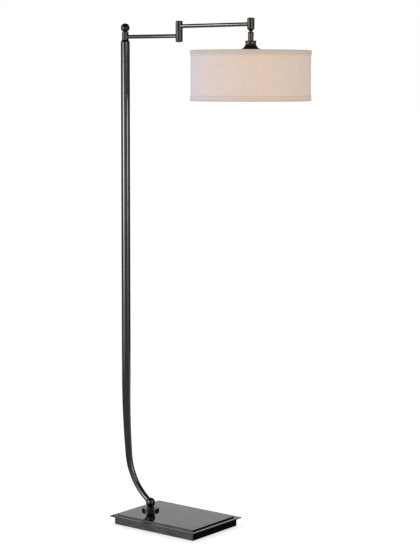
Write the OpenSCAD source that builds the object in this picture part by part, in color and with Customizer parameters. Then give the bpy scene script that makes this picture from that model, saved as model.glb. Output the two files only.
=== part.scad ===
// Double swing-arm floor lamp: a stepped rectangular base, a post that curves out of
// a ball at its foot, two level arms joined by an elbow, and a linen drum shade.
// Millimetres. The origin is the centre of the base's underside on the floor,
// +X runs along the base from the post towards the shade, and +Z is up.

/* [Base] */
// Length of the top plate
base_l = 356; // [320:1:420]
// Width of the top plate
base_w = 256; // [220:1:320]
// Thickness of the top plate
plate_t = 3; // [2:0.5:6]
// Overhang of the top plate past the plinth, on every side
plate_lip = 12; // [4:1:24]
// Margin of bare plate around the raised panel
panel_margin = 18; // [8:1:30]
// Thickness of the raised panel
panel_t = 4; // [3:0.5:8]
// Bevel along the top edges of the plate and the panel
edge_bevel = 0.6; // [0.2:0.1:1.2]
// Height of the plinth's skirt
skirt_h = 25.5; // [22:0.5:40]
// Thickness of the skirt's sheet
skirt_t = 2; // [1:0.5:4]
// Thickness of the felt under the base
felt_t = 1.5; // [1:0.5:3]
// Margin of bare cover around the felt
felt_margin = 4; // [1:1:12]
// Thickness of the bottom cover
cover_t = 2; // [1.5:0.5:3]
// Gap between the cover's edge and the skirt
cover_gap = 0.3; // [0.1:0.1:1]
// Gap between the ballast's edge and the skirt
ballast_gap = 22; // [10:1:34]
// Thickness of the ballast
ballast_t = 12; // [10:1:14]
// Diameter of the ballast's screw bosses
boss_d = 14; // [10:1:18]
// Inset of the screws from the ballast's corners
screw_inset = 16; // [12:1:24]
// Distance of the ballast's own screws from its short edges
ballast_screw_inset = 40; // [36:1:60]
// Thread diameter of the ballast's screws
ballast_screw_d = 6; // [4:0.5:8]
// Depth of the ballast's screws in the raised panel
ballast_screw_bite = 2; // [1:0.5:2.5]
// Thread diameter of the cover's screws
cover_screw_d = 4; // [3:0.5:5]
// Length of the cover's screws
cover_screw_l = 9; // [8:0.5:10]

/* [Cord inlet] */
// Diameter of the bushing's bore, which the supply cord passes through
inlet_d = 6; // [5:0.5:7]
// Diameter of the bushing's waist, in the skirt's hole
inlet_waist_d = 9.4; // [9:0.1:11]
// Diameter of the bushing's flanges
inlet_flange_d = 12.4; // [12:0.1:13]
// Thickness of each flange
inlet_flange_t = 2; // [1.5:0.5:3]
// Height of the inlet's axis above the cover
inlet_rise = 6.3; // [6.3:0.1:7.5]

/* [Foot] */
// Distance from the plate's rear edge to the foot's axis
foot_inset = 69.5; // [60:0.5:90]
// Diameter of the disc flange
flange_d = 57.5; // [44:0.5:70]
// Height of the disc flange
flange_h = 8.5; // [5:0.5:14]
// Rounding of the disc's top edge
flange_round = 1.5; // [0.5:0.5:3]
// Diameter of the collar under the ball
collar_d = 25; // [20:0.5:30]
// Height of the collar
collar_h = 3.7; // [2:0.1:8]
// Diameter of the foot's ball
foot_ball_d = 32; // [30:0.5:40]
// Depth of the flat that the ball sits on
foot_ball_flat = 2; // [1.5:0.1:3]
// Diameter of the threaded pipe that holds the foot
foot_pipe_d = 9.8; // [9:0.1:11]
// Diameter of the cavity inside the foot's ball
ball_cavity_d = 14; // [13:0.5:15]
// Diameter of the channel from that cavity to the post's tip
ball_channel_d = 12.4; // [12:0.1:13]
// Diameter of the pocket for the foot's nut in the ballast
nut_pocket_d = 28; // [24:0.5:32]
// Depth of that pocket
nut_pocket_h = 6; // [5:0.1:7]
// Diameter of the foot's washer
foot_washer_d = 26; // [20:0.5:26]
// Thickness of the foot's washer
foot_washer_t = 1.5; // [1:0.1:2]
// Width of the foot's nut over its corners
foot_nut_d = 17; // [15:0.5:19]
// Thickness of the foot's nut
foot_nut_t = 5; // [4:0.1:5]

/* [Post] */
// Height of the top of the post's tube above the floor
post_h = 1602; // [1400:1:1750]
// Diameter of the post
post_d = 30; // [28:0.5:36]
// Wall of the post's tube
post_wall = 1.5; // [1:0.1:2]
// Diameter of the post's lower tip
tip_d = 18.5; // [17:0.5:20]
// Depth of the straight tip from the ball's centre outwards
tip_l = 18; // [17:0.5:24]
// Distance of the tip's end from the ball's centre
tip_seat = 9; // [8.5:0.1:10]
// Radius of the tight bend over the foot
bend_r = 191.5; // [160:0.5:240]
// Lean of the tip from the vertical
bend_a = 54.8; // [45:0.1:62]
// Radius of the slow sweep above the bend
sweep_r = 2420; // [1500:10:3000]
// Angle of the slow sweep
sweep_a = 5.5; // [3:0.1:7]
// Height above the sweep where the post reaches its full diameter
taper_rise = 34; // [10:1:120]
// Height of the joint between the post's two tubes
post_joint_h = 840; // [700:1:1000]
// Length of the coupler inside the joint
coupler_l = 60; // [40:1:90]
// Wall of the coupler
coupler_wall = 2.6; // [2:0.1:4]
// Radial clearance of the coupler in the post's tubes
coupler_gap = 0.15; // [0.1:0.05:0.3]
// Height of the cone that closes the post
shoulder_h = 7.6; // [4:0.1:12]
// Depth of the shoulder's plug in the tube
shoulder_plug_l = 20; // [12:1:30]

/* [Swivel] */
// Diameter of the arm's sleeve on the post
sleeve_d = 22.4; // [22:0.1:26]
// Height of the sleeve
sleeve_h = 24.4; // [24:0.1:32]
// Height of the lower arm's axis above the sleeve's lower end
sleeve_arm_rise = 8.7; // [8.6:0.1:9.5]
// Diameter of the ball on top of the post
top_ball_d = 29.5; // [24:0.5:36]
// Depth of the flat under the top ball
top_ball_flat = 1.2; // [1.2:0.1:2]
// Diameter of the hollow pivots
pivot_d = 9.8; // [9.5:0.1:10]
// Bore of the hollow pivots, the foot's pipe and the shade's pipe
pivot_bore = 6.6; // [6.2:0.1:7]
// Bore of the sleeve, the knuckles and the hub
chamber_d = 16.4; // [16:0.1:17]
// Thickness of the bushes' flanges
bush_flange_t = 0.8; // [0.5:0.1:1.5]
// Gap between the sleeve's lower bush and the arm's tube
lower_bush_gap = 0.4; // [0.3:0.1:0.6]
// Gap between the upper bushes and the arms' tubes
bush_gap = 1.6; // [1.5:0.1:1.8]
// Clearance round the lead in the pivot's window
window_gap = 0.4; // [0.3:0.1:0.6]

/* [Arms] */
// Length of the lower arm between its axes
lower_arm_l = 215; // [205:1:280]
// Length of the upper arm between its axes
upper_arm_l = 312; // [280:1:360]
// Turn of the lower arm from the base's long axis, as stored
lower_arm_yaw = 5.5; // [-20:0.5:20]
// Turn of the upper arm from the base's long axis, as stored
upper_arm_yaw = -5; // [-20:0.5:20]
// Diameter of both arms' tubes
arm_d = 13; // [12:0.1:13.2]
// Wall of the arms' tubes
arm_wall = 1.2; // [1:0.1:1.4]
// Distance from a pivot's surface to the end of an arm's tube
arm_stop = 2.6; // [2.6:0.1:3]
// Diameter of the elbow's knuckles
knuckle_d = 23.4; // [23:0.1:27]
// Height of each knuckle with its cap
knuckle_h = 33.6; // [33:0.1:38]
// Distance from each arm's axis to the elbow's seam
knuckle_axis = 15.4; // [15.2:0.1:16]
// Height of the caps on the elbow
cap_h = 8; // [6.5:0.1:9]
// Further height of the elbow's lower cap
bottom_cap_more = 2.2; // [1:0.1:4]
// Rise of the elbow caps' crowns
cap_crown = 0.8; // [0.4:0.1:1.4]
// Radius of the upper cap's round edge
cap_edge = 2.2; // [1:0.1:4]
// Radius of the lower cap's round edge
bottom_cap_edge = 4.4; // [2:0.1:5]
// Width of the groove under each cap
cap_groove = 0.7; // [0.4:0.1:1.2]
// Depth of the caps' spigots in the knuckles and the hub
spigot_h = 2.6; // [2:0.1:3]
// Thickness of the upper knuckle's floor
knuckle_floor = 5; // [4:0.1:6]
// Thickness of the nuts on the pivots
nut_t = 3.8; // [3:0.1:4]
// Gap between those nuts' corners and the arms' tubes
nut_gap = 0.7; // [0.5:0.1:1]
// Thickness of the washers on the pivots
pivot_washer_t = 0.8; // [0.5:0.1:0.8]

/* [End hub] */
// Diameter of the hub at the end of the upper arm
hub_d = 23; // [22.5:0.1:27]
// Height of the hub's body above the arm's axis
hub_rise = 11.2; // [11:0.1:14]
// Height of the hub's straight side below the arm's axis
hub_drop = 14.4; // [13:0.1:16]
// Height of the cone under the hub
hub_cone_h = 6.8; // [6:0.1:10]
// Diameter at the cone's lower end
hub_cone_d = 11.4; // [11.2:0.1:14]
// Height of the hub's cap
hub_cap_h = 9.6; // [6:0.1:12]
// Rise of the crown of the hub's cap
hub_cap_crown = 1.5; // [0.6:0.1:2]
// Radius of that cap's round edge
hub_cap_edge = 3; // [1:0.1:4]
// Height of the hub's cone above its floor
hub_floor_drop = 1; // [0:0.1:2]
// Length of bare pipe between the hub and the stem
neck_gap = 2.3; // [1:0.1:6]

/* [Stem and canopy] */
// Height of the turned stem
stem_h = 27.8; // [22:0.1:40]
// Diameter of the stem's foot
stem_foot_d = 17.4; // [16:0.1:22]
// Diameter of the stem under its round shoulder
stem_top_d = 18.6; // [17:0.1:22]
// Radius of the stem's shoulder
stem_round = 3.8; // [2:0.1:3.9]
// Radius of the canopy's flare
flare_r = 20; // [18:0.1:24]
// Radius of the canopy's waist
waist_r = 16.6; // [16.2:0.1:20]
// Depth of the waist below the canopy's top
waist_drop = 6.9; // [5:0.1:8]
// Diameter over the canopy's rim
canopy_d = 84; // [80:0.5:100]
// Depth of the rim's turned-down lip
canopy_lip = 3; // [1.5:0.1:5]
// Wall of the canopy
canopy_t = 1; // [0.6:0.1:1.5]

/* [Socket] */
// Diameter of the socket's cap
socket_cap_d = 34; // [32:0.5:35]
// Depth of the cap's lower edge below the canopy's top
socket_cap_drop = 29.4; // [28:0.1:31]
// Wall of the socket's cap and shell
socket_wall = 0.9; // [0.6:0.1:1.2]
// Height of the cap's neck above its dome
socket_neck_h = 12.4; // [10:0.1:16]
// Diameter of the cap's neck
socket_neck_d = 16; // [14:0.5:20]
// Radius of the cap's dome
socket_dome_r = 20; // [18:0.5:26]
// Depth of the neck's root below the top of the dome
neck_root = 4; // [3:0.5:5]
// Height of the pipe's lower end above the top of the dome
pipe_stop = 4; // [2:0.5:6]
// Depth of the shell inside the cap
shell_lap = 3; // [2:0.5:4]
// Depth of the shade's seat below the canopy's top
seat_drop = 44.4; // [42:0.1:48]
// Diameter of the shell's lower, threaded part
skirt_thread_d = 39.6; // [38:0.1:40]
// Diameter of the shell's flange
seat_flange_d = 47; // [44:0.5:50]
// Thickness of the shell's flange
seat_flange_t = 2; // [1.5:0.1:3]
// Depth of the socket's mouth below the canopy's top
mouth_drop = 68.4; // [66:0.1:72]
// Diameter of the lamp base that the screw shell takes
bulb_base_d = 26.4; // [26:0.1:26.6]
// Radial clearance of the lamp base in the screw shell
bulb_gap = 0.25; // [0.2:0.05:0.3]
// Depth of the socket's bottom from its mouth
socket_depth = 28; // [26:0.5:28.5]
// Depth of the screw shell's edge in the mouth
screw_shell_inset = 2; // [1:0.5:4]
// Diameter of the hole in the screw shell's end
screw_hole_d = 14; // [12:0.5:16]
// Diameter of the centre contact
contact_d = 8; // [6:0.5:10]
// Height of the centre contact
contact_h = 1.4; // [1:0.1:2]
// Depth of the insulating liner's edge in the mouth
liner_inset = 0.6; // [0.3:0.1:1]
// Height of the liner's top above the cap's lower edge
liner_rise = 4; // [3:0.5:6]
// Wall of the brass screw shell
screw_shell_t = 0.5; // [0.3:0.1:0.7]
// Height of the clamp ring under the shade's washer
clamp_ring_h = 8; // [5:0.5:12]
// Diameter of the clamp ring
clamp_ring_d = 51; // [46:0.5:56]
// Diameter of the finger notches in the clamp ring
notch_d = 4.8; // [3:0.1:6]
// Depth of those notches
notch_depth = 1.2; // [0.6:0.1:2]
// Depth of the switch's axis below the canopy's top
switch_drop = 38.4; // [37.6:0.1:39]
// Diameter of the switch's stem
switch_stem_d = 4; // [3:0.1:5]
// Depth of the stem's bore in the liner
switch_bore = 8; // [6:0.5:9]
// Radial clearance of the stem in the shell
switch_gap = 0.5; // [0.3:0.1:0.8]
// Distance from the socket's axis to the knob
switch_reach = 46; // [45:0.5:56]
// Diameter of the knob
knob_d = 11; // [9:0.5:12]
// Length of the knob
knob_l = 12; // [9:0.5:18]
// Diameter of the cutter of the knob's flutes
flute_d = 2; // [1:0.1:2.4]
// Depth of the flutes
flute_depth = 0.5; // [0.2:0.1:0.8]
// Length of the knob's plain collar
knob_collar = 1.5; // [1:0.1:3]

/* [Bulb] */
// Diameter of the bulb
bulb_d = 60; // [45:1:70]
// Length of the bulb with its base
bulb_l = 110; // [95:1:118]
// Wall of the bulb's glass
bulb_t = 1; // [0.6:0.1:2]
// Depth of the lamp base's edge in the socket's mouth
bulb_inset = 1; // [0.5:0.5:3]
// Height of the lamp base's tapered end
base_taper_h = 3.6; // [2.5:0.1:5]
// Diameter at the root of that taper
base_taper_d = 22.4; // [20:0.1:24]
// Inset of the glass's neck in the lamp base
bulb_neck_in = 0.6; // [0.4:0.1:1]

/* [Shade] */
// Diameter of the fabric drum
shade_d = 378; // [330:1:384]
// Height of the shade over its trims
shade_h = 158.5; // [140:0.5:220]
// Depth of the shade's top below the canopy's top
shade_drop = 29.9; // [26:0.1:32]
// Thickness of the fabric with its backing
fabric_t = 1.2; // [0.8:0.1:2]
// Height of the trim bands
trim_h = 17; // [10:0.5:30]
// Thickness of the trim bands outside the drum
trim_t = 1.5; // [1:0.1:2.5]
// Thickness of the trim where it folds over the edge
fold_t = 0.8; // [0.5:0.1:1]
// Height of the fold inside the drum
fold_h = 6; // [4:0.5:10]
// Diameter of the frame's wire
wire_d = 3.2; // [2.5:0.1:4]
// Number of spokes
spokes = 3; // [3:1:4]
// Diameter over the washer that the spokes meet at
washer_d = 54; // [50:0.5:60]
// Thickness of that washer
washer_t = 1.6; // [1:0.1:2.5]
// Radial clearance of that washer on the socket
shade_washer_gap = 0.3; // [0.2:0.1:0.5]
// Lap of the spokes on the washer
spoke_lap = 2; // [1.5:0.1:3]
// Depth of the spokes in the washer where they are welded
weld_depth = 0.4; // [0.2:0.1:0.8]
// Gap between the frame's rings and the folded trims
ring_gap = 0.1; // [0.05:0.05:0.3]
// Gap between the trims and the drum
trim_gap = 0.05; // [0.05:0.05:0.1]

/* [Leads] */
// Diameter of the lead inside the tubes
lead_d = 5; // [4.4:0.1:5.2]
// Radius of the lead's bends inside the knuckles
lead_bend = 5; // [5:0.1:5.4]
// Radius of the lead's bend inside the foot's ball
lead_ball_bend = 12; // [10:0.5:12]
// Radius of the lead's bend under the foot
foot_lead_bend = 6; // [5:0.1:6.5]
// Length of the post's lead past its bend into the sleeve
post_lead_over = 1.6; // [1:0.1:1.8]
// Length of the lower arm's lead past its bend into the elbow's pivot
elbow_lead_over = 0.6; // [0.3:0.1:0.8]
// Length of the upper arm's lead past its bend into the hub
hub_lead_over = 1.2; // [0.6:0.1:1.6]

/* [Fits] */
// Radial clearance of pieces that are screwed or pressed together
fit_gap = 0.03; // [0.02:0.01:0.05]
// Radial clearance of pieces that turn on each other
run_gap = 0.06; // [0.04:0.01:0.09]
// Radial clearance of washers on threads
washer_gap = 0.2; // [0.1:0.1:0.4]
// Length of each thread past its nut
thread_over = 0.6; // [0.3:0.1:0.8]
// Gap at ends that must not touch
end_gap = 0.3; // [0.2:0.1:0.5]

/* [Hidden] */
$fn = 64;
POST_SIDES = 48;
LEAD_SIDES = 10;
FLAT_CUT = 60;  // size of the blocks that trim balls and caps flat

// Levels of the base
z_skirt = felt_t;
z_cover = z_skirt + cover_t;
z_plate = z_skirt + skirt_h;
z_panel = z_plate + plate_t;
z_top = z_panel + panel_t;
plinth_l = base_l - 2 * plate_lip;
plinth_w = base_w - 2 * plate_lip;
well_l = plinth_l - 2 * skirt_t;
well_w = plinth_w - 2 * skirt_t;
ballast_l = well_l - 2 * ballast_gap;
ballast_w = well_w - 2 * ballast_gap;
z_ballast = z_plate - ballast_t;
z_inlet = z_cover + inlet_rise;
inlet_end = -well_l / 2 + inlet_flange_t;
pipe_r = foot_pipe_d / 2;
bore_r = pivot_bore / 2;

// The foot: flange, collar and ball on one upright pipe
foot_x = -base_l / 2 + foot_inset;
z_collar = z_top + flange_h;
z_ball_seat = z_collar + collar_h;
foot_ball_r = foot_ball_d / 2;
z_ball = z_ball_seat + foot_ball_r - foot_ball_flat;
z_foot_washer = z_ballast + nut_pocket_h - foot_washer_t;
z_foot_nut = z_foot_washer - foot_nut_t;
z_pipe = z_foot_nut - thread_over;
ball_tangent = lead_ball_bend * tan(bend_a / 2);
z_pipe_top = z_ball - ball_tangent;

// Stations [x, z, lean, travel] of routes in the plane of the base's long axis:
// a lean of 0 points up and a positive one leans towards +X
function ahead(s, d) = [s[0] + d * sin(s[2]), s[1] + d * cos(s[2]), s[2], s[3] + d];
function turned(s, r, a) = [
  s[0] + sign(a) * r * (cos(s[2]) - cos(s[2] + a)),
  s[1] + sign(a) * r * (sin(s[2] + a) - sin(s[2])),
  s[2] + a,
  s[3] + r * abs(a) * PI / 180
];
// A move [length] runs straight on, and [radius, turn, steps] bends
function stations(s, m) = len(m) == 1 ? [ahead(s, m[0])]
  : [for (i = [1 : m[2]]) turned(s, m[0], m[1] * i / m[2])];
function onward(s, moves, i = 0) = i == len(moves) ? []
  : let (new = stations(s, moves[i])) concat(new, onward(new[len(new) - 1], moves, i + 1));
function route(s, moves) = concat([s], onward(s, moves));

// The post's centreline leaves the ball leaning back, bends upright and runs straight up
post_r = post_d / 2;
post_bore_r = post_r - post_wall;
tip_r = tip_d / 2;
ball_out = [foot_x, z_ball, -bend_a, 0];
bend_end = turned(ahead(ball_out, tip_l), bend_r, bend_a - sweep_a);
sweep_end = turned(bend_end, sweep_r, sweep_a);
post_x = sweep_end[0];
rise_z = sweep_end[1];
taper_l = sweep_end[3] + taper_rise - tip_seat;
post_route = route(ahead(ball_out, tip_seat), [
  [tip_l - tip_seat],
  [bend_r, bend_a - sweep_a, 14],
  [sweep_r, sweep_a, 5],
  [taper_rise],
  [post_joint_h - rise_z - taper_rise]
]);
post_start = post_route[0][3];
function post_radius(s) = tip_r + (post_r - tip_r) * min(1, (s[3] - post_start) / taper_l);

// Levels of the arms
arm_r = arm_d / 2;
arm_bore_r = arm_r - arm_wall;
pivot_r = pivot_d / 2;
chamber_r = chamber_d / 2;
arm_seat = pivot_r + arm_stop;  // from an axis to the end of an arm's tube
z_shoulder = post_h + shoulder_h;
z_sleeve = z_shoulder + bush_flange_t;
z_sleeve_top = z_sleeve + sleeve_h;
z_lower_arm = z_sleeve + sleeve_arm_rise;
z_top_ball_seat = z_sleeve_top + bush_flange_t;
top_ball_r = top_ball_d / 2;
z_top_ball = z_top_ball_seat + top_ball_r - top_ball_flat;
z_spindle = post_h - shoulder_plug_l;
z_spindle_top = z_top_ball_seat + top_ball_r;
z_seam = z_lower_arm + knuckle_axis;
z_upper_knuckle = z_seam + bush_flange_t;
z_upper_arm = z_upper_knuckle + knuckle_axis;
body_h = knuckle_h - cap_h;
lower_bush_l = sleeve_arm_rise - arm_r - lower_bush_gap;
bush_l = knuckle_axis - arm_r - bush_gap;
nut_d = 2 * (arm_seat - nut_gap);
z_elbow_washer = z_seam - bush_l - pivot_washer_t;
z_elbow_nut = z_elbow_washer - nut_t;
z_pivot = z_elbow_nut - thread_over;
z_pivot_top = z_upper_knuckle + knuckle_floor + thread_over;

// Plan of the arms
elbow = [post_x + lower_arm_l * cos(lower_arm_yaw), lower_arm_l * sin(lower_arm_yaw)];
hub = elbow + upper_arm_l * [cos(upper_arm_yaw), sin(upper_arm_yaw)];

// Levels of the end hub, the stem, the canopy, the socket and the shade
z_hub = z_upper_arm - hub_drop - hub_cone_h;
z_hub_floor = z_hub + hub_cone_h - hub_floor_drop;
z_hub_nut = z_hub_floor + pivot_washer_t;
z_pipe_end = z_hub_nut + nut_t + thread_over;
z_stem_top = z_hub - neck_gap;
z_canopy = z_stem_top - stem_h;
z_waist = z_canopy - waist_drop;
flare_axis = waist_r + flare_r;
canopy_r = canopy_d / 2;
z_flare = z_waist - flare_r;
z_socket_neck = z_canopy - canopy_t;
socket_r = socket_cap_d / 2;
z_dome = z_socket_neck - socket_neck_h;
z_cap_edge = z_canopy - socket_cap_drop;
z_seat = z_canopy - seat_drop;
z_mouth = z_canopy - mouth_drop;
shell_r = socket_r - socket_wall - fit_gap;
liner_r = shell_r - socket_wall - fit_gap;
z_liner_top = z_cap_edge + liner_rise;
screw_bore_r = bulb_base_d / 2 + bulb_gap;
screw_shell_r = screw_bore_r + screw_shell_t;
z_screw_top = z_mouth + socket_depth;
z_switch = z_canopy - switch_drop;
bulb_r = bulb_d / 2;
z_bulb_tip = z_screw_top - contact_h;
z_bulb_neck = z_mouth + bulb_inset;
z_bulb = z_bulb_tip - bulb_l + bulb_r;
z_shade_top = z_canopy - shade_drop;
z_shade = z_shade_top - shade_h;
drum_r = shade_d / 2;
drum_bore_r = drum_r - fabric_t;
wire_r = wire_d / 2;
ring_r = drum_bore_r - fold_t - wire_r - ring_gap;
z_top_ring = z_shade_top - fold_t - wire_r - ring_gap;
z_bottom_ring = z_shade + fold_t + wire_r + ring_gap;

// The lead lies on the bottom of each arm's bore and climbs through the hollow pivots
lead_r = lead_d / 2;
lead_sag = arm_bore_r - lead_r - end_gap;
z_lower_lead = z_lower_arm - lead_sag;
z_upper_lead = z_upper_arm - lead_sag;

// Slab on z = 0 whose top edges are bevelled
module bevelled_slab(l, w, t, b) {
  intersection() {
    rotate([90, 0, 90]) linear_extrude(l, center = true) slab_outline(w, t, b);
    rotate([90, 0, 0]) linear_extrude(w, center = true) slab_outline(l, t, b);
  }
}

module slab_outline(w, t, b) {
  polygon([[-w / 2, 0], [w / 2, 0], [w / 2, t - b], [w / 2 - b, t], [b - w / 2, t], [-w / 2, t - b]]);
}

module at_corners(l, w) {
  for (x = [-1, 1], y = [-1, 1]) translate([x * l / 2, y * w / 2, 0]) children();
}

module tube(r, bore, h) {
  difference() {
    cylinder(h = h, r = r);
    translate([0, 0, -1]) cylinder(h = h + 2, r = bore);
  }
}

// Point of a swept ring: station s, radius r, angle a round the route
function ring_point(s, r, a) = [
  s[0] + r * cos(a) * cos(s[2]),
  r * sin(a),
  s[1] - r * cos(a) * sin(s[2])
];

// Rod along a route, with a radius for every station
module swept_rod(path, radii, sides) {
  n = len(path);
  points = [for (i = [0 : n - 1], k = [0 : sides - 1]) ring_point(path[i], radii[i], 360 * k / sides)];
  walls = [for (i = [0 : n - 2], k = [0 : sides - 1], half = [0, 1])
    let (a = i * sides + k, b = i * sides + (k + 1) % sides)
    half == 0 ? [a, a + sides, b] : [b, a + sides, b + sides]];
  ends = [
    [for (k = [0 : sides - 1]) k],
    [for (k = [sides - 1 : -1 : 0]) (n - 1) * sides + k]
  ];
  polyhedron(points, concat(walls, ends), convexity = 6);
}

// Tube along a route: an outer and an inner wall and two flat rings at the ends
module swept_tube(path, radii, wall, sides) {
  n = len(path);
  inner = n * sides;
  points = [for (skin = [0, 1], i = [0 : n - 1], k = [0 : sides - 1])
    ring_point(path[i], radii[i] - skin * wall, 360 * k / sides)];
  walls = [for (skin = [0, 1], i = [0 : n - 2], k = [0 : sides - 1], half = [0, 1])
    let (a = skin * inner + i * sides + k, b = skin * inner + i * sides + (k + 1) % sides)
    half == 0 ? (skin == 0 ? [a, a + sides, b] : [a, b, a + sides])
      : (skin == 0 ? [b, a + sides, b + sides] : [b, b + sides, a + sides])];
  rims = [for (end = [0, 1], k = [0 : sides - 1], half = [0, 1])
    let (a = end * (n - 1) * sides + k, b = end * (n - 1) * sides + (k + 1) % sides)
    half == 0 ? (end == 0 ? [a, b, a + inner] : [a, a + inner, b])
      : (end == 0 ? [b, b + inner, a + inner] : [b, a + inner, b + inner])];
  polyhedron(points, concat(walls, rims), convexity = 6);
}

// Places on the arms: local x runs along the arm from its inner axis
module on_lower_arm() {
  translate([post_x, 0, z_lower_arm]) rotate([0, 0, lower_arm_yaw]) children();
}

module on_upper_arm() {
  translate([elbow[0], elbow[1], z_upper_arm]) rotate([0, 0, upper_arm_yaw]) children();
}

module at_elbow(z) {
  translate([elbow[0], elbow[1], z]) children();
}

module at_hub(z) {
  translate([hub[0], hub[1], z]) children();
}

// Level tube of an arm, seated in the walls at both of its ends
module arm_tube(l) {
  translate([arm_seat, 0, 0]) rotate([0, 90, 0]) tube(arm_r, arm_bore_r, l - 2 * arm_seat);
}

// Hole for an arm's tube through one wall, from the axis towards +X
module arm_socket() {
  translate([pivot_r, 0, 0]) rotate([0, 90, 0]) cylinder(h = FLAT_CUT, r = arm_r + fit_gap);
}

// Cap on z = 0: a spigot that points down, a groove, a band, a round edge and a low crown
module crowned_cap(r, h, crown, edge) {
  crown_r = (pow(r, 2) + pow(crown, 2)) / (2 * crown);
  z_crown = h - crown_r;
  z_edge = z_crown + sqrt(pow(crown_r - edge, 2) - pow(r - edge, 2));
  translate([0, 0, -spigot_h]) cylinder(h = spigot_h + cap_groove, r = chamber_r - fit_gap);
  cylinder(h = cap_groove, r = r - cap_groove);
  rotate_extrude() {
    translate([0, cap_groove]) square([r, z_edge - cap_groove]);
    translate([r - edge, z_edge]) circle(r = edge);
    intersection() {
      translate([0, z_crown]) circle(r = crown_r, $fn = 256);
      square([(r - edge) * crown_r / (crown_r - edge), h]);
    }
  }
}

// Flanged bush that hangs from its flange at z = 0
module bush(r, l) {
  difference() {
    union() {
      cylinder(h = bush_flange_t, r = r);
      translate([0, 0, -l]) cylinder(h = l, r = chamber_r - fit_gap);
    }
    translate([0, 0, -l - 1]) cylinder(h = l + bush_flange_t + 2, r = pivot_r + run_gap);
  }
}

// Washer for a nut on a pivot, on z = 0
module pivot_washer() {
  tube(chamber_r - 2 * washer_gap, pivot_r + washer_gap, pivot_washer_t);
}

// Six-sided nut on z = 0
module nut(d, h, bore) {
  difference() {
    cylinder(h = h, d = d, $fn = 6);
    translate([0, 0, -1]) cylinder(h = h + 2, r = bore);
  }
}

// Countersunk screw that points up, with its flat head at z = 0
module countersunk_screw(d, l) {
  cylinder(h = d / 2, r1 = d, r2 = d / 2);
  cylinder(h = l, r = d / 2);
}

// Its hole, which the head fills flush
module countersunk_hole(d, l) {
  translate([0, 0, -0.01]) cylinder(h = d / 2 + 0.01, r1 = d + 0.1, r2 = d / 2 + 0.1);
  cylinder(h = l, r = d / 2 + fit_gap);
}

// Base

module base_plinth() {
  color("#3b3b3d") difference() {
    translate([0, 0, z_skirt + skirt_h / 2]) cube([plinth_l, plinth_w, skirt_h], center = true);
    translate([0, 0, z_skirt + skirt_h / 2]) cube([well_l, well_w, skirt_h + 2], center = true);
    translate([-plinth_l / 2 - 1, 0, z_inlet]) rotate([0, 90, 0])
      cylinder(h = skirt_t + 2, r = inlet_waist_d / 2 + fit_gap);
  }
}

module base_plate() {
  color("#5c5c5e") difference() {
    translate([0, 0, z_plate]) bevelled_slab(base_l, base_w, plate_t, edge_bevel);
    translate([foot_x, 0, z_plate - 1]) cylinder(h = plate_t + 2, r = pipe_r + fit_gap);
    translate([0, 0, z_plate - 1]) at_ballast_screws()
      cylinder(h = plate_t + 2, r = ballast_screw_d / 2 + fit_gap);
  }
}

module base_panel() {
  color("#6c6c6e") difference() {
    translate([0, 0, z_panel])
      bevelled_slab(base_l - 2 * panel_margin, base_w - 2 * panel_margin, panel_t, edge_bevel);
    translate([foot_x, 0, z_panel - 1]) cylinder(h = panel_t + 2, r = pipe_r + fit_gap);
    translate([0, 0, z_panel - 1]) at_ballast_screws()
      cylinder(h = ballast_screw_bite + 1 + end_gap, r = ballast_screw_d / 2 + fit_gap);
  }
}

module at_cover_screws() {
  at_corners(ballast_l - 2 * screw_inset, ballast_w - 2 * screw_inset) children();
}

module at_ballast_screws() {
  at_corners(ballast_l - 2 * ballast_screw_inset, ballast_w - 2 * screw_inset) children();
}

// Cast slab under the plate, with a pocket for the foot's nut and bosses for the cover
module base_ballast() {
  color("#2e2e30") difference() {
    union() {
      translate([0, 0, z_ballast + ballast_t / 2]) cube([ballast_l, ballast_w, ballast_t], center = true);
      translate([0, 0, z_cover]) at_cover_screws() cylinder(h = z_ballast - z_cover + 1, r = boss_d / 2);
    }
    translate([foot_x, 0, z_ballast - 1]) cylinder(h = ballast_t + 2, r = pipe_r + fit_gap);
    translate([foot_x, 0, z_ballast - 1]) cylinder(h = nut_pocket_h + 1, r = nut_pocket_d / 2);
    translate([0, 0, z_ballast]) at_ballast_screws() countersunk_hole(ballast_screw_d, ballast_t + 1);
    translate([0, 0, z_cover - 1]) at_cover_screws()
      cylinder(h = cover_screw_l, r = cover_screw_d / 2 + fit_gap);
  }
}

module ballast_screws() {
  color("silver") translate([0, 0, z_ballast]) at_ballast_screws()
    countersunk_screw(ballast_screw_d, ballast_t + plate_t + ballast_screw_bite);
}

module base_cover() {
  color("#3a3a3a") difference() {
    translate([0, 0, z_skirt + cover_t / 2])
      cube([well_l - 2 * cover_gap, well_w - 2 * cover_gap, cover_t], center = true);
    translate([0, 0, z_skirt]) at_cover_screws() countersunk_hole(cover_screw_d, cover_t + 1);
  }
}

module cover_screws() {
  color("silver") translate([0, 0, z_skirt]) at_cover_screws()
    countersunk_screw(cover_screw_d, cover_screw_l);
}

module base_felt() {
  color("#26261f") translate([0, 0, felt_t / 2])
    cube([well_l - 2 * felt_margin, well_w - 2 * felt_margin, felt_t], center = true);
}

// Two-flanged bushing that lines the hole in the skirt's rear wall
module cord_bushing() {
  color("black") translate([-plinth_l / 2 - inlet_flange_t, 0, z_inlet]) rotate([0, 90, 0]) difference() {
    union() {
      cylinder(h = inlet_flange_t, r = inlet_flange_d / 2);
      cylinder(h = 2 * inlet_flange_t + skirt_t, r = inlet_waist_d / 2);
      translate([0, 0, inlet_flange_t + skirt_t]) cylinder(h = inlet_flange_t, r = inlet_flange_d / 2);
    }
    translate([0, 0, -1]) cylinder(h = 2 * inlet_flange_t + skirt_t + 2, r = inlet_d / 2);
  }
}

// Foot

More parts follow.
